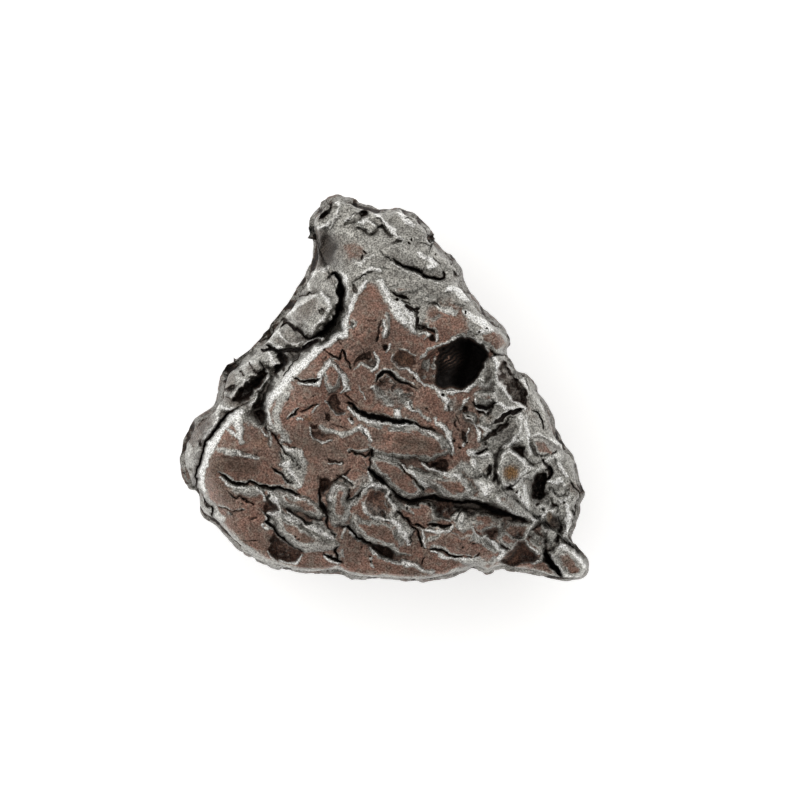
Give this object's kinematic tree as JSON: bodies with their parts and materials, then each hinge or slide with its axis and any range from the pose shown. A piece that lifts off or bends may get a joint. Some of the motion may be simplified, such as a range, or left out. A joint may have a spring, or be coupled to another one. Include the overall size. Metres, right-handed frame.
{
  "type": "iron meteorite",
  "caption": "Small knobbly lump of meteoritic iron, rounded-triangular, with a pillowed and deeply pitted front and one worn flat it rests on.",
  "frame": {"origin": "on the plane of the worn flat that the lump rests on (Z = 0), below the middle of the bounding box", "axes": "+X along the longest side, +Y towards the narrow knobbed end, +Z out of the pillowed, pitted front face"},
  "size_m": [0.0458, 0.0432, 0.0212],
  "materials": {
    "meteoritic_iron": "semi-gloss, brown patina on the pillows, bare grey metal on the rims, dark pits"
  },
  "bodies": {
    "root": {"meteorite": "meteoritic_iron"}
  },
  "joints": []
}
